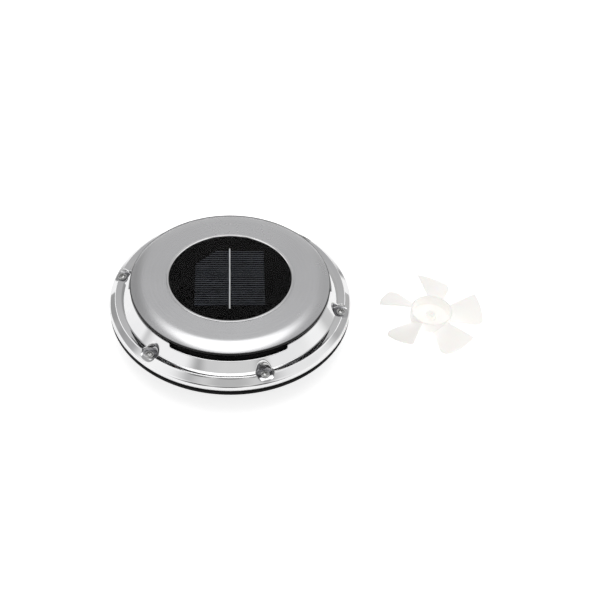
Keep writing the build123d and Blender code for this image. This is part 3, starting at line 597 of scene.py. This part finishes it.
# ---- panel: board, cells, ribbon, lens, bezel ----
def disc(low, high, radius, edge, segments=256):
    """A flat disc with an eased rim, heights in metres."""
    top = [(0, high.z), (radius - edge, high.z), (radius, high.z - edge)]
    bottom = [(radius, low.z + edge), (radius - edge, low.z), (0, low.z)]
    return lathe(top + bottom, segments, loop=False)


board = disc(board_low, board_high, board_high.x, 0.1 * MM)
piece("panel_back", *board, panel_black, "vent", "panel_black", ["panel_board"])
window = disc(lens_low, lens_high, lens_high.x, 0.25 * MM)
piece("panel_window", *window, lens_clear, "vent", "clear_acrylic", ["panel_lens"])


def bezel():
    """The thin bright ring that holds the lens, with a flange over the cover's edge."""
    flange, inner, outer = bezel_high.x / MM, 54.1, 55.5
    top, seat, lip = bezel_high.z / MM, bezel_low.z / MM, COVER_Z / MM + 0.05
    outline = rounded([
        (inner, seat), (outer, seat), (outer, lip), (flange, lip),
        (flange, top, 0.5), (inner + 0.55, top, 0.4), (inner, top - 0.8, 0.3),
    ], 6)
    piece("bezel_ring", *lathe(outline, 384), bezel_steel, "vent", "bezel_steel", ["panel_bezel"])


bezel()


def cells():
    """Four strips with a hairline between them; the far left corner is cut across."""
    strips, gap = 4, 0.5 * MM
    strip = (cells_high.y - cells_low.y - (strips - 1) * gap) / strips
    cut_x, cut_y = 17.9 * MM, 17.2 * MM
    parts = []
    for k in range(strips):
        front = cells_low.y + k * (strip + gap)
        back = front + strip
        corners = [(cells_low.x, front), (cells_high.x, front), (cells_high.x, back)]
        if k == strips - 1:
            corners += [(cells_low.x + cut_x, back), (cells_low.x, back - cut_y)]
        else:
            corners += [(cells_low.x, back)]
        count = len(corners)
        verts = [(x, y, z) for z in (cells_low.z, cells_high.z) for x, y in corners]
        faces = [tuple(range(count))[::-1], tuple(range(count, 2 * count))]
        faces += [(i, (i + 1) % count, (i + 1) % count + count, i + count) for i in range(count)]
        parts.append((verts, faces))
    piece("cell_strips", *joined(*parts), cell_face, "vent", "silicon", ["solar_cells"], sharp=20)


cells()


def ribbon():
    """The soldered ribbon: a thin strip whose edge and crown wander a little."""
    rng = np.random.default_rng(7)
    rows = 120
    y = np.linspace(ribbon_low.y, ribbon_high.y, rows)
    middle, half = (ribbon_low.x + ribbon_high.x) / 2, (ribbon_high.x - ribbon_low.x) / 2
    wander = np.convolve(rng.normal(size=rows + 8), np.ones(9) / 9, "valid")
    wander /= np.abs(wander).max()
    blobs = np.convolve(rng.normal(size=rows + 4), np.ones(5) / 5, "valid")
    blobs /= np.abs(blobs).max()
    verts = []
    thick = ribbon_high.z - ribbon_low.z
    for k in range(rows):
        half_here = half * (0.86 + 0.14 * blobs[k])
        shift = 0.06 * half * wander[k]
        for u, h in ((-1, 0.0), (-0.8, 0.7), (0.0, 1.0), (0.8, 0.7), (1, 0.0)):
            rise = thick * h * (0.8 + 0.2 * blobs[(k * 7) % rows])
            verts.append((middle + shift + u * half_here * 0.94, y[k], ribbon_low.z + rise))
    faces = grid_faces(rows, 5, False)
    faces += [(k * 5, (k + 1) * 5, (k + 1) * 5 + 4, k * 5 + 4) for k in range(rows - 1)]
    faces += [(0, 1, 2, 3, 4), tuple((rows - 1) * 5 + i for i in (4, 3, 2, 1, 0))]
    piece("solder_ribbon", verts, faces, tinned, "vent", "tinned_copper", ["cell_ribbon"], sharp=60)


ribbon()


# ---- gasket ----
def gasket():
    """The flat rubber ring under the flange, with eased edges."""
    bore, r, top = 60.9, gasket_high.x / MM, gasket_high.z / MM
    outline = rounded([(bore, 0, 0.2), (r, 0, 0.15), (r, top, 0.3), (bore, top)], 4)
    piece("gasket_ring", *lathe(outline, 320), rubber, "vent", "gasket_rubber", ["roof_gasket"])


gasket()


# ---- deck screws: domed head with a cross recess, thread and point ----
SCREW_SEGMENTS, THREAD_ROWS = 72, 84
HEAD_R, HEAD_DOME, HEAD_POWER = 4.0, 1.75, 2.3
CROSS_ARM, CROSS_HALF, CROSS_DEPTH = 2.3, 0.48, 1.3
THREAD_R, CORE_R, PITCH, POINT_H, SHANK_R = 2.1, 1.55, 1.6, 3.0, 1.6


def cross_drop(x, y):
    """How far the cross recess sinks the head at a point."""
    narrow = min(abs(x), abs(y)) - CROSS_HALF
    reach = max(abs(x), abs(y)) - CROSS_ARM
    edge = max(narrow / 0.22, reach / 0.5)
    return CROSS_DEPTH * min(1.0, max(0.0, 0.5 - edge))


def thread_radius(z, a, tip):
    """The threaded rod's radius at a height and a direction, thinning to its point."""
    taper = min(1.0, (z - tip) / POINT_H)
    phase = (z / PITCH + a / TAU) % 1.0
    crest = max(0.0, 1.0 - abs(phase - 0.5) / 0.28)
    return max((CORE_R + (THREAD_R - CORE_R) * crest) * taper, 0.02)


def screw(centre, turn):
    """One screw as a closed grid of rings whose head is sunk by the cross and whose rod carries a thread."""
    top, floor, tip = screws_high.z / MM, POCKET_FLOOR / MM, screws_low.z / MM
    dome = np.concatenate([np.linspace(0.12, 2.8, 24), np.linspace(2.95, 3.7, 6)])
    side = [
        (3.9, floor + 0.95), (HEAD_R, floor + 0.6), (3.97, floor + 0.12), (3.85, floor),
        (SHANK_R, floor), (SHANK_R, floor - 1.0),
    ]
    angles = np.arange(SCREW_SEGMENTS) * TAU / SCREW_SEGMENTS
    verts = [(0.0, 0.0, top - CROSS_DEPTH)]
    for rho in dome:
        z = top - HEAD_DOME * (rho / HEAD_R) ** HEAD_POWER
        for a in angles:
            x, y = rho * math.cos(a), rho * math.sin(a)
            verts.append((x, y, z - cross_drop(x, y)))
    for rho, z in side:
        verts.extend((rho * math.cos(a), rho * math.sin(a), z) for a in angles)
    start = floor - 1.2
    for k in range(THREAD_ROWS + 1):
        z = start + (tip - start) * k / THREAD_ROWS
        for a in angles:
            r = thread_radius(z, a, tip)
            verts.append((r * math.cos(a), r * math.sin(a), z))
    rows = len(dome) + len(side) + THREAD_ROWS + 1
    faces = [(0, 1 + k, 1 + (k + 1) % SCREW_SEGMENTS) for k in range(SCREW_SEGMENTS)]
    faces += [tuple(i + 1 for i in f[::-1]) for f in grid_faces(rows, SCREW_SEGMENTS, True)]
    end = 1 + (rows - 1) * SCREW_SEGMENTS
    faces.append(tuple(end + k for k in reversed(range(SCREW_SEGMENTS))))
    c, s = math.cos(turn), math.sin(turn)
    placed = []
    for x, y, z in verts:
        placed.append(((x * c - y * s + centre[0]) * MM, (x * s + y * c + centre[1]) * MM, z * MM))
    return placed, faces


def deck_screws():
    """The six screws, each with its cross turned differently."""
    parts = []
    for k, angle in enumerate(SCREW_ANGLES):
        a = math.radians(angle)
        centre = (SCREW_CIRCLE_R * math.cos(a), SCREW_CIRCLE_R * math.sin(a))
        parts.append(screw(centre, 0.35 + 1.9 * k))
    piece("deck_screw_set", *joined(*parts), screw_steel, "vent", "screw_steel", ["deck_screws"], sharp=35)


deck_screws()


# ---- impellers ----
HUB_R, HUB_WALL, HUB_FACE, BOSS_R, BOSS_H, BORE_R = 19.2, 1.5, 1.5, 4.2, 5.0, 1.0
TIP_R, BLADES, BLADE_T, BLADE_CORNER_R = 48.0, 5, 1.3, 8.0
ROOT_LOW, ROOT_HIGH, TIP_LOW, TIP_HIGH = -20.0, 20.0, -15.0, 25.0
BLADE_ROWS, BLADE_COLUMNS, CORNER_STEPS, CUP = 30, 26, 8, 1.3
EDGE_THINNING = [0.35, 0.8, 1.0, 1.0]


def flat_point(radius, angle):
    """The (x, y) of a radius and a direction in degrees."""
    a = math.radians(angle)
    return np.array([radius * math.cos(a), radius * math.sin(a)])


def tip_outline(root_low):
    """The blade's outer end, from the rounded low corner round to the sharp high one."""
    low_end = flat_point(TIP_R, TIP_LOW)
    along = root_low - low_end
    along /= np.linalg.norm(along)
    tip_dir = flat_point(1.0, TIP_LOW + 90)
    half = math.acos(float(np.dot(along, tip_dir))) / 2
    reach = BLADE_CORNER_R / math.tan(half)
    middle = (along + tip_dir) / np.linalg.norm(along + tip_dir)
    centre = low_end + middle * BLADE_CORNER_R / math.sin(half)
    a0 = low_end + along * reach - centre
    start = math.atan2(a0[1], a0[0])
    sweep = math.pi - 2 * half
    tip = []
    for k in range(CORNER_STEPS + 1):
        a = start + sweep * k / CORNER_STEPS
        tip.append(centre + BLADE_CORNER_R * np.array([math.cos(a), math.sin(a)]))
    first = math.degrees(math.atan2(tip[-1][1], tip[-1][0]))
    first_r = float(np.hypot(*tip[-1]))
    arc_steps = BLADE_COLUMNS - CORNER_STEPS - 1
    for k in range(1, arc_steps + 1):
        share = k / arc_steps
        r = first_r + (TIP_R - first_r) * min(1.0, share * 3)
        tip.append(flat_point(r, first + (TIP_HIGH - first) * share))
    return tip


def blade_middle(height):
    """The middle surface of a blade as a grid: it climbs from its low edge to its high one, and is cupped."""
    root = [flat_point(HUB_R - 0.6, a) for a in np.linspace(ROOT_LOW, ROOT_HIGH, BLADE_COLUMNS)]
    tip = tip_outline(root[0])
    surface = np.zeros((BLADE_ROWS, BLADE_COLUMNS, 3))
    for i in range(BLADE_ROWS):
        u = i / (BLADE_ROWS - 1)
        for k in range(BLADE_COLUMNS):
            p = root[k] * (1 - u) + tip[k] * u
            rho = float(np.hypot(*p))
            w = (rho - HUB_R) / (TIP_R - HUB_R)
            low = ROOT_LOW + (TIP_LOW - ROOT_LOW) * w
            high = ROOT_HIGH + (TIP_HIGH - ROOT_HIGH) * w
            c = min(1.0, max(0.0, (math.degrees(math.atan2(p[1], p[0])) - low) / (high - low)))
            cup = CUP * 4 * c * (1 - c) * (0.4 + 0.6 * w)
            z = BLADE_T / 2 + 0.1 + c * (height - BLADE_T - 0.2) - cup * (1 - 0.5 * c)
            surface[i, k] = (p[0], p[1], max(z, BLADE_T / 2 + 0.02))
    return surface


def blade(height, mirrored):
    """One blade: its middle surface thickened to both sides, thinner towards its free edges."""
    rows, columns = BLADE_ROWS, BLADE_COLUMNS
    surface = blade_middle(height)
    normal = np.cross(np.gradient(surface, axis=0), np.gradient(surface, axis=1))
    normal /= np.linalg.norm(normal, axis=2, keepdims=True)
    thinning = np.array(EDGE_THINNING)
    from_side = np.minimum(np.arange(columns), np.arange(columns)[::-1])
    from_tip = np.arange(rows)[::-1]
    edge = thinning[np.minimum(from_side, 3)][None, :] * thinning[np.minimum(from_tip, 3)][:, None]
    top = surface + normal * (BLADE_T / 2) * edge[..., None]
    bottom = surface - normal * (BLADE_T / 2) * edge[..., None]
    verts = np.concatenate([top.reshape(-1, 3), bottom.reshape(-1, 3)])
    verts[:, :2] *= np.minimum(1.0, (TIP_R - 0.02) / np.hypot(verts[:, 0], verts[:, 1]))[:, None]
    if mirrored:
        verts[:, 1] *= -1
    n = rows * columns
    faces = grid_faces(rows, columns, False)
    faces += [tuple(i + n for i in f[::-1]) for f in grid_faces(rows, columns, False)]
    border = list(range(columns))
    border += [i * columns + columns - 1 for i in range(1, rows)]
    border += [(rows - 1) * columns + k for k in range(columns - 2, -1, -1)]
    border += [i * columns for i in range(rows - 2, 0, -1)]
    faces += [(b, a, a + n, b + n) for a, b in zip(border, border[1:] + border[:1])]
    if mirrored:
        faces = [f[::-1] for f in faces]
    return verts, faces


def in_millimetres(part):
    """A vertex and face list in metres, in millimetres instead."""
    return np.array(part[0]) / MM, part[1]


def turned(part, angle, origin):
    """A list in millimetres turned about Z by an angle in degrees, then put at its origin, in metres."""
    verts, faces = part
    a = math.radians(angle)
    m = np.array([[math.cos(a), -math.sin(a), 0], [math.sin(a), math.cos(a), 0], [0, 0, 1]])
    return (np.array(verts) @ m.T) * MM + np.array(origin), faces


def impeller(name, node, origin, first, mirrored, body):
    """A whole impeller: a hub open upwards, its boss with a rib, and blades from a first direction on."""
    low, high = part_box(node)
    height = (high.z - low.z) / MM
    face, boss_top, bore_floor, rib_angle = HUB_FACE, HUB_FACE + BOSS_H, 1.1, 62
    hub = rounded([
        (0, 0), (HUB_R, 0, 0.8), (HUB_R, height, 0.5), (HUB_R - HUB_WALL, height, 0.5),
        (HUB_R - HUB_WALL, face, 1.0), (BOSS_R + 0.5, face, 0.6), (BOSS_R - 0.2, boss_top, 0.5),
        (BORE_R, boss_top, 0.2), (BORE_R, bore_floor), (0, bore_floor),
    ], 5)
    rib = block((BOSS_R - 0.6, -0.5, face - 0.4), (BOSS_R + 2.2, 0.5, face + 3.4), 0.25)
    parts = [
        turned(in_millimetres(lathe(hub, 120, loop=False)), 0, origin),
        turned(in_millimetres(rib), rib_angle, origin),
    ]
    for k in range(BLADES):
        parts.append(turned(blade(height, mirrored), first + k * 360 / BLADES, origin))
    piece(name, *joined(*parts), ivory_painted_glow, body, "ivory_plastic", [node], sharp=40)


SPARE_CENTRE = (185.3 * MM, 8.3 * MM, spare_low.z)
WHEEL_CENTRE = (0.0, 0.0, wheel_low.z)
SPARE_FIRST_BLADE, WHEEL_FIRST_BLADE = 2.0, 20.0
impeller("loose_impeller", "spare_impeller", SPARE_CENTRE, SPARE_FIRST_BLADE, False, "spare")
impeller("fitted_impeller", "impeller", WHEEL_CENTRE, WHEEL_FIRST_BLADE, True, "rotor")


# ---- materials of the CAD nodes that stay ----
green_board = moulded("green_board", (0.015, 0.10, 0.035), (0.025, 0.15, 0.05), (0.25, 0.4), 400.0, 0.01)
component = moulded("component_body", (0.03, 0.03, 0.035), (0.06, 0.06, 0.065), (0.35, 0.5), 700.0, 0.02)
nylon = moulded("nylon", (0.72, 0.71, 0.66), (0.80, 0.79, 0.74), (0.4, 0.55), 500.0, 0.02)
sleeve = moulded("battery_sleeve", (0.03, 0.16, 0.07), (0.05, 0.22, 0.10), (0.18, 0.3), 200.0, 0.01)
red_pvc = moulded("red_pvc", (0.48, 0.015, 0.015), (0.58, 0.03, 0.025), (0.35, 0.45), 500.0, 0.02)
black_pvc = moulded("black_pvc", (0.012, 0.012, 0.012), (0.02, 0.02, 0.02), (0.35, 0.45), 500.0, 0.02)
screen_dark = moulded("screen_coating", (0.02, 0.02, 0.02), (0.04, 0.04, 0.04), (0.4, 0.6), 1500.0, 0.03)
ferrite = moulded("ferrite", (0.06, 0.06, 0.065), (0.10, 0.10, 0.10), (0.5, 0.7), 900.0, 0.04)
zinc = metal("zinc_plate", (0.60, 0.60, 0.57), (0.70, 0.70, 0.68), (0.25, 0.4), scratch=(80.0, 80.0, 900.0))
lamination = metal(
    "lamination", (0.38, 0.38, 0.39), (0.50, 0.50, 0.50), (0.35, 0.5), scratch=(60.0, 60.0, 3000.0)
)
copper = metal(
    "copper_wire", (0.60, 0.24, 0.10), (0.72, 0.33, 0.16), (0.2, 0.35), scratch=(300.0, 300.0, 2500.0)
)
bronze = metal("sintered_bronze", (0.48, 0.32, 0.13), (0.58, 0.40, 0.18), (0.35, 0.5))
nickel = metal("nickel_plate", (0.66, 0.65, 0.61), (0.76, 0.75, 0.72), (0.15, 0.28))
KEPT = {
    black_abs: [
        "base_body", "motor_carrier", "carrier_lid", "battery_door", "insect_screen_frame", "panel_terminal",
    ],
    rubber: ["lead_grommet"],
    foam: ["panel_seal"],
    screw_steel: ["cover_weld_nuts", "cover_screws", "carrier_screws", "lid_screws"],
    zinc: ["motor_can", "motor_shaft"],
    nylon: ["motor_end_cap", "switch_slider"],
    bronze: ["motor_bushes", "motor_brushes"],
    ferrite: ["motor_magnets"],
    lamination: ["rotor_core"],
    copper: ["rotor_windings", "commutator"],
    sleeve: ["battery_cell"],
    nickel: ["battery_spring", "battery_contacts"],
    green_board: ["control_board"],
    component: ["board_parts", "switch_body"],
    red_pvc: ["panel_lead_red", "battery_lead_red", "motor_lead_red"],
    black_pvc: ["panel_lead_black", "battery_lead_black", "motor_lead_black"],
    screen_dark: ["insect_screen_mesh"],
}
for finish, names in KEPT.items():
    for name in names:
        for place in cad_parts[name].material_slots:
            place.material = finish


# ---- stage: pale floor, studio surround, camera ----
# What the metal mirrors: patches of a grey level, each as azimuth and elevation of its middle, the angles
# from it at which it starts to fade and has faded, and the level. Later patches lie over earlier ones.
PATCHES = (
    # the far side, behind the fan
    (-45, 20, 18, 36, 0.35), (45, 20, 18, 36, 0.47), (0, 18, 14, 30, 0.58),
    # left and right
    (-78, -2, 15, 22, 1.0), (82, 0, 10, 22, 0.62), (104, 12, 16, 30, 1.0),
    # the camera's side, with dark cards
    (180, 34, 20, 36, 0.68), (180, 50, 4, 18, 0.5), (180, 12, 9, 18, 0.14),
    (148, 10, 10, 22, 0.12), (-148, 10, 10, 22, 0.12),
    (-118, 24, 14, 30, 1.0), (122, 24, 14, 28, 0.9),
    # the softbox overhead
    (0, 84, 21, 31, 1.75),
)


def studio():
    """A grey surround with light and dark patches in it. The camera itself sees plain white there."""
    world = bpy.data.worlds.new("studio")
    bpy.context.scene.world = world
    world.use_nodes = True
    tree = world.node_tree
    back = tree.nodes["Background"]
    where = tree.nodes.new("ShaderNodeTexCoord").outputs["Generated"]

    def facing(azimuth, elevation, inner, outer):
        """1 within inner degrees of a direction, fading to 0 at outer. Azimuth 0 is +Y, 90 is +X."""
        a, e = math.radians(azimuth), math.radians(elevation)
        dot = tree.nodes.new("ShaderNodeVectorMath")
        dot.operation = "DOT_PRODUCT"
        dot.inputs[1].default_value = (math.sin(a) * math.cos(e), math.cos(a) * math.cos(e), math.sin(e))
        tree.links.new(where, dot.inputs[0])
        fade = tree.nodes.new("ShaderNodeMapRange")
        fade.interpolation_type = "SMOOTHSTEP"
        fade.inputs["From Min"].default_value = math.cos(math.radians(outer))
        fade.inputs["From Max"].default_value = math.cos(math.radians(inner))
        tree.links.new(dot.outputs["Value"], fade.inputs["Value"])
        return fade.outputs[0]

    split = tree.nodes.new("ShaderNodeSeparateXYZ")
    tree.links.new(where, split.inputs[0])
    walls = tree.nodes.new("ShaderNodeValToRGB")
    walls.color_ramp.elements[0].position = 0.0
    walls.color_ramp.elements[0].color = (0.92, 0.92, 0.92, 1)
    walls.color_ramp.elements[1].position = 1.0
    walls.color_ramp.elements[1].color = (0.45, 0.45, 0.45, 1)
    for position, value in ((0.10, 0.75), (0.30, 0.42), (0.62, 0.44), (0.8, 0.46)):
        stop = walls.color_ramp.elements.new(position)
        stop.color = (value, value, value * 1.01, 1)
    tree.links.new(split.outputs["Z"], walls.inputs[0])
    light = walls.outputs["Color"]
    for azimuth, elevation, inner, outer, level in PATCHES:
        mix = tree.nodes.new("ShaderNodeMix")
        mix.data_type = "RGBA"
        tree.links.new(facing(azimuth, elevation, inner, outer), mix.inputs["Factor"])
        a, b = [s for s in mix.inputs if s.type == "RGBA"]
        tree.links.new(light, a)
        b.default_value = (level, level, level, 1)
        light = [s for s in mix.outputs if s.type == "RGBA"][0]
    seen = tree.nodes.new("ShaderNodeMix")
    seen.data_type = "RGBA"
    tree.links.new(tree.nodes.new("ShaderNodeLightPath").outputs["Is Camera Ray"], seen.inputs["Factor"])
    a, b = [s for s in seen.inputs if s.type == "RGBA"]
    tree.links.new(light, a)
    b.default_value = (1.0, 1.0, 1.0, 1)
    tree.links.new([s for s in seen.outputs if s.type == "RGBA"][0], back.inputs["Color"])


def floor():
    """A pale floor. Behind the fan it holds a dark card that shows in reflections and not to the camera."""
    mesh = bpy.data.meshes.new("floor")
    size, z = 4.0, spare_low.z - 0.02 * MM
    corners = [(-size, -size, z), (size, -size, z), (size, size, z), (-size, size, z)]
    mesh.from_pydata(corners, [], [(0, 1, 2, 3)])
    obj = bpy.data.objects.new("floor", mesh)
    bpy.context.scene.collection.objects.link(obj)
    n = Nodes("pale_floor")
    n.set(Specular_IOR_Level=0.1, Emission_Strength=1.0)
    x, y, _ = n.parts(n.place)
    narrow = n.ramp(n.math("ABSOLUTE", x), 1.0, 0.0, 0.20, 0.28)
    card = n.math("MULTIPLY", narrow, n.ramp(y, 0.0, 1.0, 0.16, 0.22))
    card = n.math("MULTIPLY", card, n.ramp(y, 1.0, 0.0, 0.55, 0.7))
    seen = n.new("ShaderNodeLightPath").outputs["Is Camera Ray"]
    hidden = n.math("MULTIPLY", card, n.math("SUBTRACT", 1.0, seen))
    pale = n.mottle(3.0, (0.70, 0.70, 0.70), (0.74, 0.74, 0.74))
    tint = n.blend(hidden, pale, (0.02, 0.02, 0.02))
    glow = n.blend(hidden, n.blend(seen, (0.45, 0.45, 0.45), (0.72, 0.72, 0.72)), (0.0, 0.0, 0.0))
    n.link(glow, n.shader.inputs["Emission Color"])
    obj.data.materials.append(n.finish(tint, n.ramp(n.noise(12.0), 0.7, 0.8)))


def camera():
    """The photograph's view: 44.5 degrees up, looking along +Y, centred left of the middle of the frame."""
    elevation, distance, target_z = math.radians(44.54), 1.0214, 8.6 * MM
    data = bpy.data.cameras.new("camera")
    data.sensor_width = 36.0
    data.lens = 68.23
    data.shift_x, data.shift_y = 0.1166, -0.0049
    obj = bpy.data.objects.new("camera", data)
    bpy.context.scene.collection.objects.link(obj)
    obj.location = (0, -distance * math.cos(elevation), target_z + distance * math.sin(elevation))
    obj.rotation_euler = (math.pi / 2 - elevation, 0, 0)
    bpy.context.scene.camera = obj


studio()
floor()
camera()
bpy.context.scene.view_settings.view_transform = "Standard"
